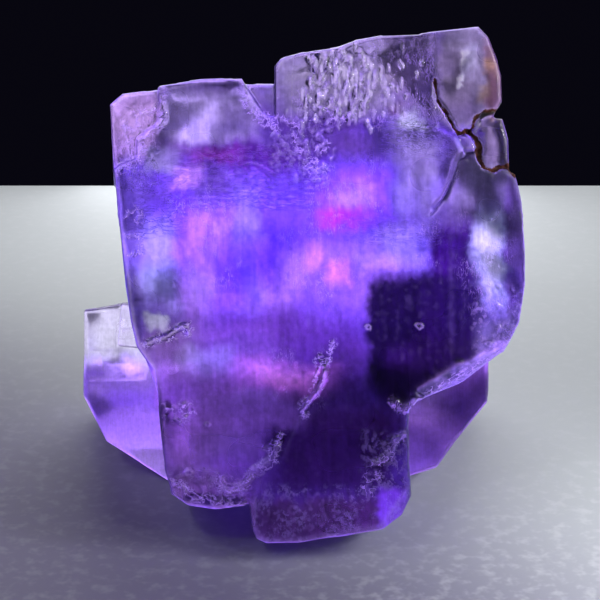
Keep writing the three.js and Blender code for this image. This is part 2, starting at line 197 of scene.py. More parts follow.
# Raised curly seams on the front: x and z along each, half width and height
SEAMS = {
    "corner": ([(-9.8, 15.0), (-9.6, 12.6), (-10.9, 11.4), (-11.3, 9.9), (-13.0, 9.0)], 0.15, 0.11),
    "corner_inner": ([(-9.9, 13.5), (-11.6, 13.2), (-11.4, 11.9), (-10.9, 11.5)], 0.12, 0.1),
    "corner_step": ([(-12.4, 12.4), (-12.1, 11.2), (-11.9, 9.6)], 0.11, 0.08),
    "recess": ([(-4.0, 15.0), (-3.8, 14.0), (-3.4, 13.3), (-2.8, 12.8), (-1.9, 12.2)], 0.15, 0.14),
    "recess_tail": ([(-2.9, 13.3), (-2.0, 12.9), (-0.9, 12.6), (0.0, 12.1)], 0.12, 0.11),
    "curl": (
        [(1.4, -4.2), (1.7, -4.6), (1.6, -5.6), (1.2, -6.5), (0.5, -7.2), (0.1, -7.8), (0.3, -8.1)],
        0.14, 0.18,
    ),
    "curl_inner": ([(1.5, -4.5), (1.1, -5.2), (0.9, -6.1), (0.6, -6.8)], 0.09, 0.1),
    "curl_outer": ([(2.3, -2.8), (2.0, -3.6), (1.9, -4.6)], 0.09, 0.08),
    "fringe": ([(-1.6, -10.2), (-1.8, -11.1), (-2.7, -11.7), (-3.4, -12.0), (-3.7, -12.6)], 0.15, 0.14),
    "fringe_tip": ([(-1.2, -9.4), (-1.5, -10.0), (-1.9, -10.5), (-2.4, -10.4)], 0.11, 0.11),
    "fringe_hook": ([(-3.9, -13.2), (-5.4, -13.4), (-5.7, -13.0), (-5.6, -12.7)], 0.12, 0.13),
    "lower_left": ([(-9.3, -12.6), (-8.4, -13.0), (-7.6, -13.8), (-6.2, -14.1), (-4.4, -14.3)], 0.15, 0.13),
    "ledge_corner": ([(6.6, -7.1), (7.1, -7.7), (7.8, -7.8), (8.1, -7.3)], 0.12, 0.13),
    "ledge_lip": ([(8.3, -7.3), (10.2, -6.0), (12.4, -4.9), (14.2, -3.6)], 0.11, 0.08),
    "right_fringe": ([(7.3, -9.4), (6.7, -9.9), (6.4, -10.6), (5.8, -11.2), (5.1, -11.4)], 0.12, 0.13),
    "right_fringe_low": ([(5.4, -12.4), (4.8, -12.2), (4.6, -12.9), (5.0, -13.6)], 0.12, 0.11),
    "left_ledge": (
        [(-10.8, -3.0), (-9.9, -2.8), (-9.0, -2.4), (-8.5, -1.9), (-7.9, -1.8), (-7.8, -2.3)],
        0.12, 0.13,
    ),
    "left_cluster": (
        [(-9.4, -7.5), (-8.5, -7.6), (-7.9, -7.3), (-7.7, -8.0), (-8.4, -8.5), (-9.2, -8.2)],
        0.14, 0.11,
    ),
    "drop_arc": ([(2.0, 13.5), (2.3, 12.9), (2.9, 12.6), (3.6, 12.8), (3.8, 13.4)], 0.11, 0.11),
    "left_edge": ([(-12.2, 6.0), (-11.6, 6.4), (-11.2, 6.1), (-11.3, 5.7)], 0.11, 0.08),
    "left_step": ([(-12.2, 4.6), (-11.3, 4.5), (-11.2, 3.4), (-12.0, 3.2)], 0.09, 0.06),
    "tail_a": ([(-0.4, 11.2), (0.3, 10.2), (0.7, 9.2), (1.0, 8.5)], 0.12, 0.11),
    "tail_b": ([(2.0, 11.0), (1.4, 10.6), (1.0, 9.8), (1.3, 9.3), (1.9, 9.0)], 0.11, 0.1),
}

# Small ring-shaped hillocks: x, z and radius
RINGS = [
    (8.3, -1.8, 0.24), (4.8, -1.9, 0.2), (-7.9, -12.1, 0.24), (-2.9, -12.2, 0.26), (-6.6, -8.8, 0.16),
    (-5.3, -13.0, 0.2), (13.2, -3.0, 0.24),
]
RING_WIDTH, RING_HEIGHT = 0.12, 0.09

# Open cracks, stained brown: x and z along each, half width and depth
CRACKS = {
    "cap": ([(9.5, 15.6), (9.45, 14.3), (10.1, 13.4), (10.7, 12.5), (11.0, 11.7), (12.1, 11.9)], 0.08, 0.2),
    "cap_side": ([(12.1, 11.9), (12.6, 12.9), (13.3, 13.3), (14.4, 13.4)], 0.09, 0.2),
    "flank": (
        [(11.6, 11.8), (12.4, 11.3), (12.6, 10.3), (12.9, 9.3), (13.6, 9.2), (14.6, 9.3), (15.4, 8.7)],
        0.15, 0.3,
    ),
}

# A crack that stays clear, in the same way
CLEAR_CRACK = (
    [(12.5, 10.5), (11.9, 10.4), (11.2, 10.0), (10.8, 8.8), (10.3, 7.4), (9.8, 6.7), (9.2, 6.1)],
    0.1, 0.14,
)

# Patches of the front with relief of their own: from and to in x, and in z
RIPPLE_BAND = ((-8.4, 0.6), (6.9, 10.2))
CRUST_SEAM, CRUST_TAIL = ((-1.6, 1.9), (9.6, 12.9)), ((-0.2, 1.5), (8.4, 10.0))
CORNER, FLANK = ((-13.4, -10.2), (8.4, 14.4)), ((12.6, 15.6), (-4.0, 0.8))
FOOT, BOTTOM = ((-9.6, -3.4), (-14.4, -12.0)), ((-3.4, 4.0), (-16.6, -13.8))

# Where the material is rippled, crusted and streaked, in the same way
RIPPLED = [RIPPLE_BAND, ((3.6, 9.4), (4.4, 5.4)), ((-11.6, -8.4), (5.0, 9.4)), ((6.2, 10.4), (10.6, 12.6))]
CRUSTED = [
    CRUST_SEAM, CRUST_TAIL, CORNER, FLANK, FOOT,
    ((-3.4, 7.2), (-16.8, -13.4)), ((3.6, 9.6), (12.8, 18.6)), ((4.6, 7.4), (-13.6, -9.4)),
]
STREAKED = [
    ((-8.4, -4.4), (1.5, 7.5)), ((1.4, 5.6), (5.0, 9.0)), ((-0.6, 1.6), (1.4, 4.0)),
    ((2.0, 3.6), (0.6, 3.0)), ((4.4, 8.8), (3.2, 5.4)), ((12.2, 14.4), (-0.2, 6.0)),
    # The last patch lies on the drops, where the streaks' pale lines are painted highlights
    ((-8.8, -7.0), (7.2, 9.4)), ((-3.8, 1.0), (-6.6, -4.4)), ((0.2, 9.0), (12.8, 18.2)),
]

# The bevel of the solid that is smoothed over, and the pale scratched ledge at the lower right
BEVEL = [(2.0, -3.4), (7.0, -6.0)]
BEVEL_REACH, BEVEL_DEPTH = (0.7, 1.3), 1.5
BEVEL_SHARE, BEVEL_ROUNDS = 0.6, 80
LEDGE = [(8.3, -7.5), (11.2, -5.7), (14.6, -3.2)]

# Growth plates: how many for each way that a face can look, half their sides, their height and where they lie
PLATE_COUNT, PLATE_HALF, PLATE_HEIGHT, PLATE_FIELD = 220, (0.4, 2.4), 0.03, (-20, 30)
PLATE_RIM = 0.14

# Glassy drops: their patch, where in it they are densest and how many they are, then the least and the most
# of half their width, of half their height and of how far they stand out
DROP_PATCH = {"x": (0.0, 9.0), "z": (11.8, 18.0), "densest": (2.8, 15.2), "count": 120}
DROP_WIDE, DROP_TALL, DROP_HIGH = (0.09, 0.18), (0.18, 0.6), (0.05, 0.14)

# Layers of the fine surface, in millimetres of height: all over, off the front, and on the front
SKIN = [(0.012, 1.3, 3), (0.004, 0.45, 4)]
BACK_SKIN = [(0.006, 0.7, 8)]
FRONT_SKIN = [(0.004, 0.5, 31), (0.0025, 0.24, 32), (0.005, (0.3, 2.0, 1.8), 33)]
RIPPLE_SKIN = [(0.022, (0.7, 3.0, 0.2), 35), (0.012, (0.4, 3.0, 0.14), 36)]

# Layers that say where crust, rough grains, brown stain, fine crust and fine streaks come and go
CRUST_HEIGHT, CRUST_LUMPS = 0.09, [(1.0, (0.42, 0.6, 0.5), 37), (0.5, 0.22, 38)]
ROUGH_HEIGHT, ROUGH_GRAINS = 0.03, [(1.0, (0.4, 0.8, 0.5), 39), (0.5, 0.22, 40)]
STAIN_EDGE, STAIN_DEEPEST = [(0.25, 0.3, 29)], 2.0
CRUST_BREAKS = [(1.0, 1.1, 63), (0.5, 0.4, 64)]
STREAK_BREAKS = [(1.0, 1.3, 65), (0.5, 0.4, 66)]

# Roughness: everywhere, more in the middle of the front, less on the front at large and on the drops
ROUGHNESS, ROUGHNESS_SPREAD = 0.3, [(0.05, 2.2, 61)]
MIDDLE, MIDDLE_DULLER = ((-7.0, 4.0), (-8.0, 6.5)), 0.08
FRONT_SHINIER, DROPS_SHINIER = 0.02, 0.14


def line_distance(points, line):
    """How far each point is from a line of straight stretches, seen from the front."""
    flat = points[:, [0, 2]]
    far = np.full(len(points), np.inf)
    for start, end in itertools.pairwise(np.array(line)):
        along = end - start
        share = np.clip((flat - start) @ along / (along @ along), 0, 1)
        far = np.minimum(far, np.linalg.norm(flat - start - share[:, None] * along, axis=1))
    return far


def without_bevel(points, edges):
    """The points, smoothed where a bevel of the solid shows as a line that the photo doesn't have."""
    far = ramp(line_distance(points, BEVEL), *BEVEL_REACH)
    share = BEVEL_SHARE * (1 - far) * (points[:, 1] < BEVEL_DEPTH)
    near = edges[(share[edges] > 0).any(axis=1)]
    return relaxed(points, near, share[:, None], BEVEL_ROUNDS)


def wobbled(points):
    """The points, moved a little so that lines between them look grown and not drawn."""
    coarse = np.stack([noise(points, 0.9, seed) for seed in (21, 22, 23)], axis=1)
    fine = np.stack([noise(points, 0.34, seed) for seed in (24, 25, 26)], axis=1)
    return points + 0.2 * coarse + 0.1 * fine


def stroke(points, line, width):
    """The cross-section of a stroke along a line: 1 in the middle, 0 past its half width."""
    return np.clip(1 - (line_distance(points, line) / width) ** 2, 0, 1)


def strokes(points):
    """Seams and rings as heights, less the cracks' depths."""
    moved = wobbled(points)
    broken = 0.3 + 0.7 * ramp(noise(points, 0.5, 27), -0.4, 0.4)
    crinkle = np.clip(1 - 2.5 * np.abs(noise(points, 0.32, 28)), 0, 1)
    height = np.zeros(len(points))
    for line, width, high in SEAMS.values():
        core = 0.5 * broken * stroke(moved, line, 0.8 * width)
        height = np.maximum(height, high * (core + 0.6 * crinkle * stroke(moved, line, 2.6 * width)))
    for x, z, radius in RINGS:
        off = np.abs(np.hypot(moved[:, 0] - x, 1.5 * (moved[:, 2] - z)) - radius)
        height = np.maximum(height, RING_HEIGHT * np.clip(1 - (off / RING_WIDTH) ** 2, 0, 1))
    for line, width, deep in [*CRACKS.values(), CLEAR_CRACK]:
        height -= deep * stroke(moved, line, width) ** 0.5
    return height


def marks(points, normals):
    """How much of each fine texture a point carries: curly lines, ripples, crust and streaks."""
    moved = wobbled(points)
    lines, ripples, crust, streaks = np.zeros((4, len(points)))
    for line, width, _ in SEAMS.values():
        lines = np.maximum(lines, 1 - ramp(line_distance(moved, line), 1.2 * width, 3.6 * width))
    for x, z in RIPPLED:
        ripples = np.maximum(ripples, window(moved, x, z, 0.9))
    for x, z in CRUSTED:
        crust = np.maximum(crust, window(moved, x, z, 0.6))
    for x, z in STREAKED:
        streaks = np.maximum(streaks, window(moved, x, z, 1.4))
    crust *= ramp(layers(moved, CRUST_BREAKS), -0.5, 0.4)
    streaks *= ramp(layers(moved, STREAK_BREAKS), -0.2, 0.7)
    return np.stack([lines, ripples, crust, streaks], axis=1) * on_front(points, normals)[:, None]


def stain(points):
    """How much brown stain each point carries, about 1 in a crack and fading out a little beside it."""
    moved = wobbled(points)
    amount = np.zeros(len(points))
    for line, width, _ in CRACKS.values():
        amount = np.maximum(amount, 1 - ramp(line_distance(moved, line), 0.0, 2.6 * width))
    return (amount + layers(points, STAIN_EDGE)) * (points[:, 1] < STAIN_DEEPEST)


def drops(points):
    """Glassy drops that run down the pale crystal at the top, as heights."""
    random = np.random.default_rng(5)
    height = np.zeros(len(points))
    near = np.flatnonzero(window(points, DROP_PATCH["x"], DROP_PATCH["z"], 1.0))
    x, z = points[near, 0], points[near, 2]
    for _ in range(DROP_PATCH["count"]):
        at_x = random.triangular(DROP_PATCH["x"][0], DROP_PATCH["densest"][0], DROP_PATCH["x"][1])
        at_z = random.triangular(DROP_PATCH["z"][0], DROP_PATCH["densest"][1], DROP_PATCH["z"][1])
        wide = random.uniform(*DROP_WIDE)
        tall = random.uniform(*DROP_TALL)
        high = random.uniform(*DROP_HIGH)
        far = ((x - at_x) / wide) ** 2 + ((z - at_z) / tall) ** 2
        height[near] = np.maximum(height[near], high * np.clip(1 - far, 0, 1) ** 0.6)
    return height


def frost(points, normals):
    """How dull each point is: satin all over, glassier on the drops and duller in the middle of the front."""
    front = on_front(points, normals)
    drop = window(points, DROP_PATCH["x"], (12.6, 18.0), 0.6)
    middle = window(points, *MIDDLE, 2.0)
    change = front * (MIDDLE_DULLER * middle - FRONT_SHINIER - DROPS_SHINIER * drop)
    value = ROUGHNESS + change + layers(points, ROUGHNESS_SPREAD)
    return np.clip(value, 0.04, 0.5).astype(np.float32)


def parquet(points, normals):
    """Low square growth plates on the crystal faces, as heights."""
    random = np.random.default_rng(11)
    facing = np.argmax(np.abs(normals), axis=1)
    total = np.zeros(len(points))
    for axis in range(3):
        on = np.flatnonzero(facing == axis)
        u, v = (points[on, other] for other in range(3) if other != axis)
        for _ in range(PLATE_COUNT):
            middle_u, middle_v = random.uniform(*PLATE_FIELD, 2)
            half_u, half_v = random.uniform(*PLATE_HALF, 2)
            far_in = np.minimum(half_u - np.abs(u - middle_u), half_v - np.abs(v - middle_v))
            total[on] += PLATE_HEIGHT * ramp(far_in, 0, PLATE_RIM)
    return total * ramp(np.abs(normals).max(axis=1), 0.9, 0.99)


def front_relief(points):
    """The fine surface of the front, as heights towards the viewer."""
    height = layers(points, FRONT_SKIN)
    moved = points.copy()
    moved[:, 2] += 0.5 * noise(points, 1.6, 34) + 0.1 * points[:, 0]
    height += window(points, *RIPPLE_BAND, 1.0) * layers(moved, RIPPLE_SKIN)
    crust = window(points, *CRUST_SEAM, 0.9) + window(points, *CRUST_TAIL, 0.5)
    height += CRUST_HEIGHT * np.minimum(crust, 1) * ramp(layers(points, CRUST_LUMPS), -0.1, 0.5)
    rough = window(points, *CORNER, 0.4) + window(points, *FLANK, 0.6)
    rough += window(points, *FOOT, 0.5) + window(points, *BOTTOM, 0.6)
    height += ROUGH_HEIGHT * np.minimum(rough, 1) * ramp(layers(points, ROUGH_GRAINS), 0.1, 0.5)
    return height + drops(points) + strokes(points)


def relief(points, normals):
    """The fine surface, as heights out of the crystal."""
    front = ramp(-normals[:, 1], 0.6, 0.95) * (points[:, 1] < RELIEF_DEPTH)
    height = layers(points, SKIN)
    other = np.flatnonzero(front < 1)
    rest = parquet(points[other], normals[other]) + layers(points[other], BACK_SKIN)
    height[other] += (1 - front[other]) * rest
    shown = np.flatnonzero(front > 0)
    height[shown] += front[shown] * front_relief(points[shown])
    return height


def decimated(mesh, points, normals):
    """The mesh as triangles, with fewer of them where it is flat and away from the front."""
    holder = bpy.data.objects.new("work", mesh)
    bpy.context.scene.collection.objects.link(holder)
    group = holder.vertex_groups.new(name="plain")
    front = (normals[:, 1] < -0.5) & (points[:, 1] < RELIEF_DEPTH)
    group.add(np.flatnonzero(front).tolist(), FRONT_DECIMATION, "REPLACE")
    group.add(np.flatnonzero(~front).tolist(), 1.0, "REPLACE")
    modifier = holder.modifiers.new("fewer", "DECIMATE")
    modifier.ratio = min(1.0, TRIANGLES / (2 * len(mesh.polygons)))
    modifier.vertex_group = group.name
    modifier.vertex_group_factor = FRONT_GUARD
    modifier.use_collapse_triangulate = True
    mesh = bpy.data.meshes.new_from_object(holder.evaluated_get(bpy.context.evaluated_depsgraph_get()))
    bpy.data.objects.remove(holder)
    return mesh


def bulge(points, edges, normals):
    """How convex the surface is at each point, from -1 in a groove to 1 on an edge."""
    count = np.bincount(edges.ravel(), minlength=len(points))
    along = points[edges[:, 1]] - points[edges[:, 0]]
    rise = np.zeros(len(points))
    length = np.zeros(len(points))
    for one, way in ((0, along), (1, -along)):
        at = edges[:, one]
        rise += np.bincount(at, np.einsum("ij,ij->i", way, normals[at]), len(points))
        length += np.bincount(at, (way**2).sum(axis=1), len(points))
    curve = -4 * rise / np.maximum(length, 1e-9)
    for _ in range(2):
        near = np.bincount(edges[:, 0], curve[edges[:, 1]], len(points))
        near += np.bincount(edges[:, 1], curve[edges[:, 0]], len(points))
        curve = 0.5 * curve + 0.5 * near / count
    return np.clip(curve / EDGE_CURVE, -1, 1)


def make_crystal(node):
    """The visible cluster: the solid with its fine surface, and its colours at every point."""
    mesh = remeshed(node)
    points, edges = read(mesh)
    points = without_bevel(relaxed(points, edges, *SMOOTHING), edges)
    normals = write(mesh, points)
    write(mesh, points + normals * relief(points, normals)[:, None])
    mesh = decimated(mesh, points, normals)
    points, edges = read(mesh)
    normals = write(mesh, points)
    edge = bulge(points, edges, normals)
    tint = mesh.attributes.new("tint", "FLOAT_COLOR", "POINT")
    colour = np.ones((len(points), 4), np.float32)
    colour[:, :3] = tinted(points, normals, edge)
    tint.data.foreach_set("color", colour.ravel())
    mesh.attributes.new("frost", "FLOAT", "POINT").data.foreach_set("value", frost(points, normals))
    fine = marks(points, normals).astype(np.float32)
    mesh.attributes.new("marks", "FLOAT_COLOR", "POINT").data.foreach_set("color", fine.ravel())
    mesh.materials.clear()
    mesh.materials.append(crystal_material())
    mesh.materials.append(stain_material())
    corners = np.empty(len(mesh.loops), np.int32)
    mesh.loops.foreach_get("vertex_index", corners)
    brown = (stain(points) > 0.5)[corners.reshape(-1, 3)].sum(axis=1) > 1
    mesh.polygons.foreach_set("material_index", brown.astype(np.int32))
    mesh.transform(TO_MODEL)
    mesh.shade_smooth()
    mesh.name = "fluorite_crystal"
    crystal = bpy.data.objects.new("fluorite_crystal", mesh)
    bpy.context.scene.collection.objects.link(crystal)
    return crystal


# Colour


def linear(code):
    """A colour written as six hexadecimal digits, as light."""
    values = np.array([int(code[i : i + 2], 16) / 255 for i in (0, 2, 4)])
    return np.where(values <= 0.04045, values / 12.92, ((values + 0.055) / 1.055) ** 2.4)


def zone(x, z, soft, colour, strength=1.0, y=(-4.0, 6.0)):
    """A colour zone: where it lies, how soft its border is, as a share of its size, and its colour."""
    low, high = np.array([x[0], y[0], z[0]]), np.array([x[1], y[1], z[1]])
    middle, half = (low + high) / 2, (high - low) / 2
    return {"middle": middle, "half": half, "soft": soft, "colour": colour, "strength": strength}


BARE = np.array((0.82, 0.63, 1.38))  # the light that comes through where the front is quite clear
BEHIND = (8.0, 30.0)  # the depths of the rear crystals

# Colour zones, later ones over earlier ones. On the front, a colour is what shows with light behind it.
ZONES = {
    "upper_left": zone((-14.0, -2.5), (9.8, 16.5), 0.2, "9c84cc"),
    "top_middle": zone((-3.4, 5.4), (9.4, 14.4), 0.6, "64449c"),
    "grey_patch": zone((-9.6, -3.6), (11.0, 14.6), 0.4, "c4b0f4"),
    "grey_shade": zone((-6.2, -3.6), (11.2, 13.8), 0.6, "4c3c78", 0.8),
    "pink_corner": zone((-13.8, -10.0), (9.4, 14.8), 0.25, "bc98d8"),
    "left_strip": zone((-13.4, -10.8), (-3.0, 9.0), 0.6, "6c54b8", 0.9),
    "pale_wedge": zone((-10.6, -8.4), (8.6, 10.4), 0.4, "a49ccc", 0.9),
    "pink_band": zone((-8.6, 0.2), (8.9, 10.9), 0.6, "602c98"),
    "pink_band_core": zone((-7.4, -4.4), (9.5, 10.5), 0.6, "8c3ca0", 0.5),
    "blue_ripples": zone((-6.6, 0.6), (7.2, 8.9), 0.6, "6848a0", 0.9),
    "blue_middle": zone((-4.2, 4.4), (3.2, 8.8), 0.6, "7448f0"),
    "blue_core": zone((-3.2, 0.2), (3.9, 6.6), 0.7, "6038e8", 0.4),
    "violet_band": zone((-8.8, -7.6), (-0.2, 8.0), 0.6, "7038f4", 0.9),
    "violet_middle": zone((-8.0, 6.0), (-0.6, 3.8), 0.6, "b07cf0", 0.9),
    "violet_low": zone((-8.6, 2.6), (-6.2, -0.4), 0.6, "542e7c", 0.9),
    "violet_lift": zone((-6.2, -2.3), (0.7, 4.3), 0.3, "ecb0ff", 0.9),
    "violet_right": zone((0.2, 4.8), (-1.4, 3.0), 0.4, "7048cc", 0.8),
    "left_pale": zone((-10.9, -8.5), (0.0, 5.2), 0.6, "8c7cf0"),
    "left_dark": zone((-12.2, -8.2), (-4.7, -0.4), 0.6, "3c2c7c", 0.9),
    "left_white": zone((-11.0, -9.5), (-2.3, -1.0), 0.4, "8c84b4"),
    "pale_streaks": zone((-4.6, -2.6), (0.2, 7.2), 0.5, "9880ff", 0.7),
    "glow_a": zone((-8.8, -7.0), (7.6, 9.1), 0.6, "c088f0", 0.9),
    "glow_b": zone((-8.0, -4.6), (2.8, 6.4), 0.6, "a064f4", 0.7),
    "glow_b_core": zone((-7.7, -6.5), (4.2, 5.8), 0.7, "c880fc", 0.45),
    "glow_b_side": zone((-5.9, -4.8), (3.8, 5.4), 0.7, "d094f4", 0.7),
    "glow_c": zone((0.2, 1.4), (2.0, 3.7), 0.7, "d488f4", 0.9),
    "glow_d": zone((1.4, 5.6), (5.6, 8.8), 0.6, "8c4cf0"),
    "glow_d_core": zone((2.8, 5.0), (6.6, 8.2), 0.7, "bc84fc", 0.8),
    "magenta_glow": zone((1.5, 4.3), (5.3, 6.6), 0.8, "c028f0", 0.65),
    "glow_e": zone((2.1, 3.6), (1.2, 3.0), 0.7, "e888f4", 0.65),
    "glow_f": zone((-5.8, -4.0), (-0.2, 2.4), 0.6, "9458ec", 0.7),
    "glow_g": zone((4.9, 6.3), (2.3, 4.2), 0.7, "eca0f4", 0.9),
    "lower_left": zone((-10.6, -2.4), (-15.0, -3.6), 0.6, "a874e8"),
    "lower_left_top": zone((-10.6, -2.2), (-4.8, -2.6), 0.4, "5c3c90", 0.8),
    "lower_left_smear": zone((-8.2, -4.6), (-5.2, -3.4), 0.6, "a494ec", 0.4),
    "lower_left_glow": zone((-7.2, -3.4), (-10.8, -8.4), 0.6, "a07cd8", 0.6),
    "lower_left_foot": zone((-10.0, -3.0), (-15.0, -12.2), 0.6, "78549c", 0.9),
    "lower_left_rim": zone((-10.6, -8.7), (-10.8, -7.8), 0.5, "54387c", 0.6),
    "lower_middle": zone((-1.0, 5.4), (-8.2, -1.2), 0.6, "4e2a84"),
    "magenta_band": zone((-3.6, 1.6), (-6.6, -4.6), 0.8, "e088ff", 0.9),
    "magenta_core": zone((-2.6, 0.8), (-5.9, -4.9), 0.8, "f098ff", 0.8),
    "dark_bottom": zone((-2.8, 7.6), (-14.0, -7.2), 0.35, "40206a"),
    "dark_bottom_core": zone((-2.6, 0.6), (-10.0, -7.0), 0.6, "381868", 0.5),
    "lower_left_band": zone((-8.0, -0.6), (-8.7, -6.4), 0.5, "b884f8", 0.9),
    "bottom_edge": zone((-3.8, 7.6), (-17.4, -13.8), 0.4, "5c3678"),
    "bottom_mottle": zone((-3.2, 2.4), (-16.6, -14.2), 0.5, "5a3c70", 0.6),
    "chip": zone((5.6, 7.7), (-15.9, -13.2), 0.3, "9458f0"),
    "top_right": zone((-2.2, 9.8), (13.2, 19.5), 0.25, "8a80a0"),
    "top_right_purple": zone((6.6, 9.7), (12.0, 18.4), 0.7, "8464b0", 0.5),
    "dark_smear": zone((4.8, 7.4), (10.0, 12.6), 0.5, "3c2c6c", 0.9),
    "dark_gap": zone((6.0, 7.0), (5.0, 9.6), 0.6, "4830a0", 0.7),
    "pale_right": zone((6.4, 9.2), (5.8, 13.6), 0.6, "8678b4"),
    "pale_right_core": zone((7.1, 8.5), (12.3, 13.7), 0.6, "d8d8f8"),
    "pale_right_low": zone((7.4, 9.4), (8.0, 10.8), 0.6, "a698cc", 0.8),
    "right_lavender": zone((4.7, 8.9), (2.2, 4.8), 0.6, "8c76dc"),
    "right_dim": zone((9.6, 15.8), (4.6, 10.8), 0.6, "7c6ca4"),
    "right_pale": zone((11.6, 13.4), (7.6, 9.4), 0.6, "8c84bc", 0.3),
    "right_violet": zone((9.4, 12.6), (-3.2, 6.2), 0.35, "341068"),
    "right_white": zone((12.3, 14.5), (-0.4, 6.4), 0.35, "b0b0e8"),
    "right_white_core": zone((12.8, 14.0), (1.4, 5.4), 0.6, "dcdcf8", 0.9),
    "right_edge": zone((14.4, 16.4), (-3.4, 9.0), 0.3, "7458a8", 0.9),
    "right_foot": zone((11.8, 15.8), (-5.4, -0.6), 0.4, "6c6294", 0.9),
    "dark_block": zone((4.8, 10.8), (-6.6, 1.9), 0.15, "180838"),
    "dark_block_low": zone((6.4, 9.6), (-7.6, -3.4), 0.3, "2c1458"),
    "dark_block_side": zone((8.6, 12.6), (-5.6, 1.6), 0.4, "220c48"),
    "cap": zone((9.6, 15.0), (12.2, 19.8), 0.12, "8c80a8"),
    "cap_brown": zone((9.4, 12.4), (12.8, 18.0), 0.5, "80708c", 0.6),
    "cap_brown_rim": zone((13.2, 15.0), (12.4, 18.6), 0.4, "845868", 0.8),
    "cap_spot": zone((13.0, 13.9), (15.6, 16.4), 0.7, "b08868", 0.7),
    "cap_spot_low": zone((12.5, 13.4), (14.2, 14.9), 0.7, "a48868", 0.6),
    # cap_glint and cap_glint_low are painted highlights: near-white spots for two glints on the cap
    "cap_glint": zone((11.2, 11.7), (16.5, 17.3), 0.5, "fff4ff"),
    "cap_glint_low": zone((10.9, 11.3), (15.2, 15.9), 0.5, "f0e8ff", 0.9),
    "top_right_rust": zone((6.4, 7.6), (13.4, 14.2), 0.7, "704878", 0.6),
    "cap_pale": zone((11.2, 12.4), (15.8, 17.6), 0.6, "b4acd8", 0.7),
    "nub": zone((12.7, 14.9), (9.4, 12.8), 0.15, "806ca4"),
    "rear_left_clear": zone((-18.0, -8.0), (-5.2, 2.5), 0.1, "84868a", 1.0, BEHIND),
    "rear_left_band": zone((-18.0, -6.0), (-8.2, -5.2), 0.15, "b890ff", 1.0, BEHIND),
    "rear_left_low": zone((-18.0, -6.0), (-16.0, -8.0), 0.15, "a878f8", 1.0, BEHIND),
    "rear_left_spots": zone((-11.2, -9.8), (-8.2, -7.0), 0.6, "e080f8", 0.9, BEHIND),
    "rear_right": zone((6.0, 17.0), (-15.0, -3.0), 0.15, "744aa4", 1.0, BEHIND),
    "rear_right_glow": zone((8.6, 11.4), (-9.4, -7.2), 0.6, "b080d8", 0.8, BEHIND),
}


# Colours away from the zones: the clouds, the plain front, the ledge, and the painted highlights of the drops
# and of sharp edges
PALE, DEEP, PLAIN_FRONT = "a685f7", "764fed", "6c48cc"
LEDGE_PALE, DROP_HIGHLIGHT, EDGE_HIGHLIGHT = "b494f0", "dcd6ec", "c0a8e8"

# Turns a place to one along the ledge, across it and into the crystal
LEDGE_TURN = np.array([[0.83, -0.55, 0], [0, 0, 1], [0.55, 0.83, 0]])


BOX_POWER = 6  # 2 would make each zone an ellipsoid, and a very large one a box with sharp corners


def inside(points, one):
    """How far the points are inside a zone, a soft box with round corners, from 0 to 1."""
    far = (((points - one["middle"]) / one["half"]) ** BOX_POWER).sum(axis=1) ** (1 / BOX_POWER)
    return one["strength"] * ramp(-far, -1 - one["soft"], -1 + one["soft"])


# Layers that move the zones' borders along x and along z, the last of each streaky
BORDERS = {
    0: [(0.55, 3.4, 51), (0.35, 1.1, 61), (0.16, 0.3, 71), (0.12, (1.8, 2.0, 0.3), 73)],
    2: [(0.55, 3.4, 53), (0.35, 1.1, 63), (0.16, 0.3, 73), (0.14, (0.3, 2.0, 2.6), 71)],
}

# Layers of the pale and deep bands, and of the clouds off the front
BANDS = [(1.0, (5.0, 5.0, 1.1), 81), (0.6, (2.2, 2.2, 0.5), 82)]
CLOUDS = [(1.0, 1.7, 97), (0.6, 0.6, 98)]

# How strongly clouds, streaks and specks change the colour, then the ledge's colour, the drops' and edges'
# painted highlights and the grooves' painted shade
CLOUDY, STREAKY, SPECKLED = 0.24, 0.18, 0.14
LEDGE_SHARE, DROP_HIGHLIGHT_SHARE, EDGE_HIGHLIGHT_SHARE, GROOVE_PAINTED_SHADE = 0.85, 0.45, 0.3, 0.25
# FULL_DROP: a drop as high as this has the drops' painted highlight in full
FULL_DROP = 0.09  # a drop as high as this has the drops' colour in full


def feathered(points):
    """The points, moved so that the zones' borders look clouded and streaky."""
    moved = points.copy()
    for axis, parts in BORDERS.items():
        moved[:, axis] += layers(points, parts)
    return moved


def blend(colour, share, other):
    """Goes from one colour to another by the share, at each point."""
    return colour + share[:, None] * (linear(other) - colour)


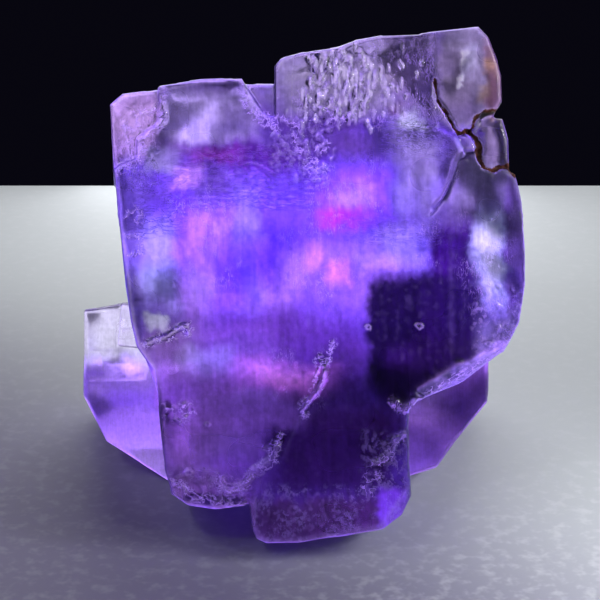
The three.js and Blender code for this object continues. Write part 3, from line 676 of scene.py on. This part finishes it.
def tinted(points, normals, edge):
    """The surface's colour at each point. Light that crosses the surface takes the colour's square root."""
    moved = feathered(points)
    front = on_front(points, normals)
    bands = ramp(layers(points, BANDS), -0.5, 0.8)
    colour = blend(np.tile(linear(PALE), (len(points), 1)), bands, DEEP)
    colour = blend(colour, front, PLAIN_FRONT)
    for one in ZONES.values():
        reach = one["half"] * (1.2 + one["soft"])
        near = np.flatnonzero((np.abs(moved - one["middle"]) < reach).all(axis=1))
        colour[near] = blend(colour[near], inside(moved[near], one), one["colour"])
    scratches = ramp(noise(points @ LEDGE_TURN, (1.6, 0.12, 2.0), 95), -0.3, 0.5)
    ledge = (1 - ramp(line_distance(moved, LEDGE), 0.3, 0.9)) * (0.35 + 0.65 * scratches)
    colour = blend(colour, LEDGE_SHARE * ledge, LEDGE_PALE)
    slanted = points + points[:, [2, 1, 0]] * 0.5
    streaks = noise(points, (0.2, 2.0, 1.7), 91) + 0.7 * noise(slanted, (0.24, 2.0, 1.2), 92)
    specks = noise(points, 0.3, 93)
    # Painted highlight: the drops are made paler the higher they stand
    colour = blend(colour, DROP_HIGHLIGHT_SHARE * front * np.clip(drops(points) / FULL_DROP, 0, 1), DROP_HIGHLIGHT)
    colour *= (1 + CLOUDY * (1 - front) * layers(points, CLOUDS))[:, None]
    colour *= np.clip(1 + front * (STREAKY * streaks + SPECKLED * specks), 0.4, 1.7)[:, None]
    # Painted highlight on convex edges, and painted shade in grooves
    colour = blend(colour, EDGE_HIGHLIGHT_SHARE * np.clip(edge, 0, 1), EDGE_HIGHLIGHT)
    colour *= (1 - GROOVE_PAINTED_SHADE * np.clip(-edge, 0, 1))[:, None]
    share = colour / BARE
    share = np.clip(share / np.maximum(share.max(axis=1), 1)[:, None], 0, 1) ** 2
    return np.clip(colour + front[:, None] * (share - colour), 0, 1)


# Material


class Nodes:
    """Short ways to add shader nodes to a tree."""

    def __init__(self, tree):
        self.tree = tree

    def add(self, kind, inputs=(), **settings):
        node = self.tree.nodes.new(kind)
        for name, value in settings.items():
            setattr(node, name, value)
        for name, value in dict(inputs).items():
            self.put(node.inputs[name], value)
        return node

    def put(self, socket, value):
        if isinstance(value, bpy.types.NodeSocket):
            self.tree.links.new(value, socket)
        else:
            socket.default_value = value

    def maths(self, operation, a, b=0.0):
        return self.add("ShaderNodeMath", {0: a, 1: b}, operation=operation).outputs[0]

    def vector(self, operation, a, b=(0, 0, 0)):
        return self.add("ShaderNodeVectorMath", {0: a, 1: b}, operation=operation).outputs["Vector"]

    def ramp(self, value, low, high, out_low=0.0, out_high=1.0):
        inputs = {"Value": value, "From Min": low, "From Max": high, "To Min": out_low, "To Max": out_high}
        return self.add("ShaderNodeMapRange", inputs, interpolation_type="SMOOTHSTEP").outputs[0]

    def noise(self, place, scale, detail=2.0, roughness=0.5):
        """Random values. scale is the lumps for each millimetre, one number or one for each axis."""
        if isinstance(scale, tuple):
            place, scale = self.vector("MULTIPLY", place, scale), 1.0
        inputs = {"Vector": place, "Scale": scale, "Detail": detail, "Roughness": roughness}
        return self.add("ShaderNodeTexNoise", inputs).outputs[0]

    def line(self, value, width):
        """Thin lines, where random values pass their middle."""
        off = self.maths("ABSOLUTE", self.maths("SUBTRACT", value, 0.5))
        return self.ramp(off, 0.0, width, 1.0, 0.0)

    def mix(self, share, a, b):
        node = self.add("ShaderNodeMix", {0: share}, data_type="RGBA")
        self.put(node.inputs[6], a)
        self.put(node.inputs[7], b)
        return node.outputs[2]


IOR = 1.434
COAT, COAT_ROUGHNESS = 0.5, 0.08
CLEAR = 0.94  # how much of the light passes through
ABSORPTION, DENSITY = (0.333, 0.045, 0.907, 1.0), 25.0
GRAIN_DEPTH, STAIN_DEPTH = 0.00003, 0.0001  # of the bump, in metres
STAIN_DARK, STAIN_PALE = "3a1a1a", "74443a"

# The fine markings of the front: how strongly each shows, and its colour
MARKINGS = {
    # curl: pale lavender lines along the seams, a bump with a painted highlight in its colour
    "curl": (0.42, (0.9, 0.66, 1.0, 1.0)),
    "crust": (0.05, (1.0, 0.85, 1.0, 1.0)),
    # streak: pale growth streaks, and on the drops painted highlights
    "streak": (0.16, (0.9, 0.6, 1.0, 1.0)),
    "ripple": (0.35, (0.03, 0.01, 0.12, 1.0)),
}


def blank_material(name):
    """A new material and its empty tree of nodes."""
    material = bpy.data.materials.new(name)
    material.use_nodes = True
    material.node_tree.nodes.clear()
    return material, Nodes(material.node_tree)


def stain_material():
    """The rusty brown fill of the cracks."""
    material, n = blank_material("brown_stain")
    place = n.add("ShaderNodeTexCoord").outputs["Object"]
    grain = n.noise(place, 2600.0, 3.0, 0.6)
    colour = n.mix(n.ramp(grain, 0.35, 0.65), (*linear(STAIN_DARK), 1.0), (*linear(STAIN_PALE), 1.0))
    shader = n.add("ShaderNodeBsdfPrincipled", {"Base Color": colour})
    bump = n.add("ShaderNodeBump", {"Distance": STAIN_DEPTH, "Height": grain}).outputs[0]
    n.put(shader.inputs["Normal"], bump)
    shader.inputs["Roughness"].default_value = 0.6
    n.add("ShaderNodeOutputMaterial", {"Surface": shader.outputs[0]})
    return material


def crystal_material():
    """Clear violet fluorite: its zones' colours, with a fine grain."""
    material, n = blank_material("fluorite")
    place = n.add("ShaderNodeTexCoord").outputs["Object"]
    moved = n.vector("SUBTRACT", place, tuple(FACE_MIDDLE * MM))
    turned = n.add("ShaderNodeVectorRotate", {"Vector": moved, "Angle": LEAN}, rotation_type="X_AXIS")
    face = n.vector("SCALE", turned.outputs[0])
    face.node.inputs["Scale"].default_value = 1 / MM

    tint = n.add("ShaderNodeAttribute", attribute_name="tint").outputs["Color"]
    grain = n.noise(face, 3.2, 2.0, 0.6)
    streaks = n.noise(face, (8.0, 1.0, 0.8), 3.0, 0.6)
    share = n.maths("MULTIPLY", n.ramp(grain, 0.3, 0.7, 0.82, 1.15), n.ramp(streaks, 0.3, 0.7, 0.88, 1.1))
    shares = n.add("ShaderNodeCombineXYZ", {0: share, 1: share, 2: share}).outputs[0]
    colour = n.vector("MULTIPLY", tint, shares)

    where = n.add("ShaderNodeAttribute", attribute_name="marks").outputs
    curly, rippled, crusted = n.add("ShaderNodeSeparateColor", {"Color": where["Color"]}).outputs
    # The curl lines are bumps, and their pale colour is a painted highlight along the seams
    curl = n.maths("MULTIPLY", curly, n.line(n.noise(face, 1.9, 3.0, 0.55), 0.035))
    ripple = n.maths("MULTIPLY", rippled, n.line(n.noise(face, (1.6, 1.0, 5.2), 2.0, 0.6), 0.05))
    crust = n.maths("MULTIPLY", crusted, n.ramp(n.noise(face, (3.4, 1.0, 2.8), 3.0, 0.65), 0.48, 0.62))
    streak = n.maths("MULTIPLY", where["Alpha"], n.line(n.noise(face, (5.0, 1.0, 1.6), 2.0, 0.6), 0.035))
    for name, mark in (("curl", curl), ("crust", crust), ("streak", streak), ("ripple", ripple)):
        strength, tone = MARKINGS[name]
        colour = n.mix(n.maths("MULTIPLY", mark, strength), colour, tone)
    low = n.maths("ADD", n.maths("MULTIPLY", crust, 0.6), n.maths("MULTIPLY", streak, 0.4))
    high = n.maths("ADD", curl, ripple)
    height = n.maths("ADD", n.maths("ADD", low, high), n.maths("MULTIPLY", grain, 0.3))

    inputs = {"Strength": 1.0, "Distance": GRAIN_DEPTH, "Height": height}
    bump = n.add("ShaderNodeBump", inputs).outputs[0]
    shader = n.add("ShaderNodeBsdfPrincipled")
    n.put(shader.inputs["Base Color"], colour)
    n.put(shader.inputs["Normal"], bump)
    n.put(shader.inputs["Roughness"], n.add("ShaderNodeAttribute", attribute_name="frost").outputs["Fac"])
    shader.inputs["IOR"].default_value = IOR
    shader.inputs["Transmission Weight"].default_value = CLEAR
    shader.inputs["Coat Weight"].default_value = COAT
    shader.inputs["Coat Roughness"].default_value = COAT_ROUGHNESS
    shader.inputs["Coat IOR"].default_value = IOR
    absorb = n.add("ShaderNodeVolumeAbsorption")
    absorb.inputs["Color"].default_value = ABSORPTION
    absorb.inputs["Density"].default_value = DENSITY
    output = n.add("ShaderNodeOutputMaterial")
    n.put(output.inputs["Surface"], shader.outputs[0])
    n.put(output.inputs["Volume"], absorb.outputs[0])
    return material


# Stage


TABLE = ((-400, -400, -12), (400, 68, -0.05))  # its top lies just under the cut, which then mirrors light
# The near colour is a painted violet shadow of the crystal; the last is a painted glint colour for whitish
# blotches
TABLE_PAINTED_SHADOW, TABLE_FAR, TABLE_PAINTED_GLINT = "8a84a8", "d4dae0", "eef0f8"
SURROUND, SURROUND_STRENGTH = "181626", 0.25
LOW_COLOUR = (0.6, 0.42, 1.0)

# Area lights: place, target, width and height, and power. Most hidden ones are seen only through the crystal.
HIDDEN_LIGHTS = {
    "pad_light": ((-1, 41, 1), (-1, 40.99, 20), (46, 50), 0.03),
    "panel_light": ((-1, 69, 24), (-1, 0, 24), (46, 45), 0.0165),
    "low_pad_light": ((-14, 8, 0.3), (-14, 7.99, 20), (12, 13), 0.0004),
    "table_light": ((34, -24, 24), (16, -7, 0), (10, 10), 0.0055),
}
OPEN_LIGHTS = {
    "back_light": ((5, 170, 90), (-10, 35, 5), (170, 170), 0.16),
    "key_light": ((-120, -90, 190), (0, 0, 15), (140, 140), 0.06),
    "side_light": ((170, -60, 110), (20, 0, 5), (120, 120), 0.12),
    "left_glint": ((-70, -130, 170), (0, 0, 15), (9, 9), 0.02),
    "right_glint": ((100, -120, 110), (0, 0, 15), (9, 9), 0.02),
}


def box(name, low, high, material):
    """A plain box between two corners, in millimetres, for the stage."""
    work = bmesh.new()
    bmesh.ops.create_cube(work, size=1.0)
    low, high = Vector(low) * MM, Vector(high) * MM
    for vertex in work.verts:
        vertex.co = Vector(low[i] + (vertex.co[i] + 0.5) * (high[i] - low[i]) for i in range(3))
    mesh = bpy.data.meshes.new(name)
    work.to_mesh(mesh)
    work.free()
    mesh.materials.append(material)
    thing = bpy.data.objects.new(name, mesh)
    bpy.context.scene.collection.objects.link(thing)
    return thing


def table_material():
    """A pale table top with a painted violet shadow, darker at the front left, and painted glints as whitish
    blotches, more at the front right.
    """
    material, n = blank_material("table")
    place = n.add("ShaderNodeTexCoord").outputs["Object"]
    x, y, _ = n.add("ShaderNodeSeparateXYZ", {0: place}).outputs
    # Painted shadow: 0 at the front left, where the table takes the painted violet shadow, 1 further back
    back = n.ramp(n.maths("ADD", y, n.maths("MULTIPLY", x, 0.8)), -0.03, 0.02)
    colour = n.mix(back, (*linear(TABLE_PAINTED_SHADOW), 1.0), (*linear(TABLE_FAR), 1.0))
    # Painted glints: whitish blotches on the table, more of them at the front right
    blotches = n.ramp(n.noise(place, 900.0, 2.0, 0.6), 0.45, 0.75)
    glint_share = n.ramp(n.maths("SUBTRACT", x, y), 0.012, 0.034, 0.14, 0.45)
    colour = n.mix(n.maths("MULTIPLY", blotches, glint_share), colour, (*linear(TABLE_PAINTED_GLINT), 1.0))
    shader = n.add("ShaderNodeBsdfPrincipled", {"Base Color": colour, "Roughness": 0.6})
    n.add("ShaderNodeOutputMaterial", {"Surface": shader.outputs[0]})
    return material


def area_light(name, place, target, size, power):
    """A soft light, white unless changed, as wide and high as size says. All lengths are in millimetres."""
    light = bpy.data.objects.new(name, bpy.data.lights.new(name, "AREA"))
    bpy.context.scene.collection.objects.link(light)
    light.data.shape = "RECTANGLE"
    light.data.size, light.data.size_y = size[0] * MM, size[1] * MM
    light.data.energy = power
    light.location = Vector(place) * MM
    look_at(light, Vector(target) * MM)
    return light


def make_stage():
    """A pale table top, a dim surround, soft lights all around and hidden ones close behind the crystal."""
    table = box("table", *TABLE, table_material())
    world = bpy.data.worlds.new("surround")
    bpy.context.scene.world = world
    world.use_nodes = True
    background = world.node_tree.nodes["Background"]
    background.inputs["Color"].default_value = (*linear(SURROUND), 1.0)
    background.inputs["Strength"].default_value = SURROUND_STRENGTH
    hidden = {name: area_light(name, *values) for name, values in HIDDEN_LIGHTS.items()}
    hidden["low_pad_light"].data.color = LOW_COLOUR
    hidden["table_light"].visible_transmission = False
    for light in hidden.values():
        light.visible_camera = False
        light.visible_glossy = False
    for name, values in OPEN_LIGHTS.items():
        area_light(name, *values)
    bpy.context.scene.view_settings.view_transform = "Standard"


make_camera()
cluster = make_crystal(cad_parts["fluorite_cluster"])
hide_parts("fluorite_cluster")
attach(cluster, "root")
make_stage()

print("triangles", len(cluster.data.polygons))
